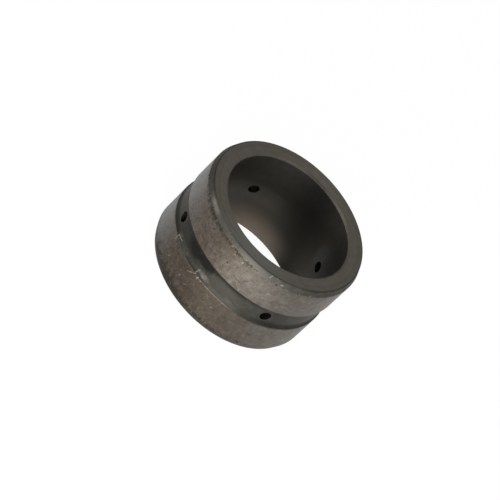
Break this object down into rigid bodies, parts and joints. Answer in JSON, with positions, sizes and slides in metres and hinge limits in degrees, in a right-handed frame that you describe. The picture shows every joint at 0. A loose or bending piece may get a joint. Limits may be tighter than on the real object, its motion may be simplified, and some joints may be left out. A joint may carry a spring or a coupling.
{
  "type": "bushing",
  "caption": "Plain turned steel bushing with a through bore for a pin, a wide shallow grease groove round the outside, radial oil holes and tapered lead-in ends.",
  "frame": {"origin": "centre of the lower end face, on the bore's axis", "axes": "+Z along the bore's axis, up from the end face that it stands on; +X and +Y each pass through an oil hole"},
  "size_m": [0.076, 0.076, 0.044],
  "materials": {
    "steel": "dull heat-treated steel, dark taupe grey with fine speckle and handling marks"
  },
  "bodies": {
    "root": {"bushing": "steel"}
  },
  "joints": []
}
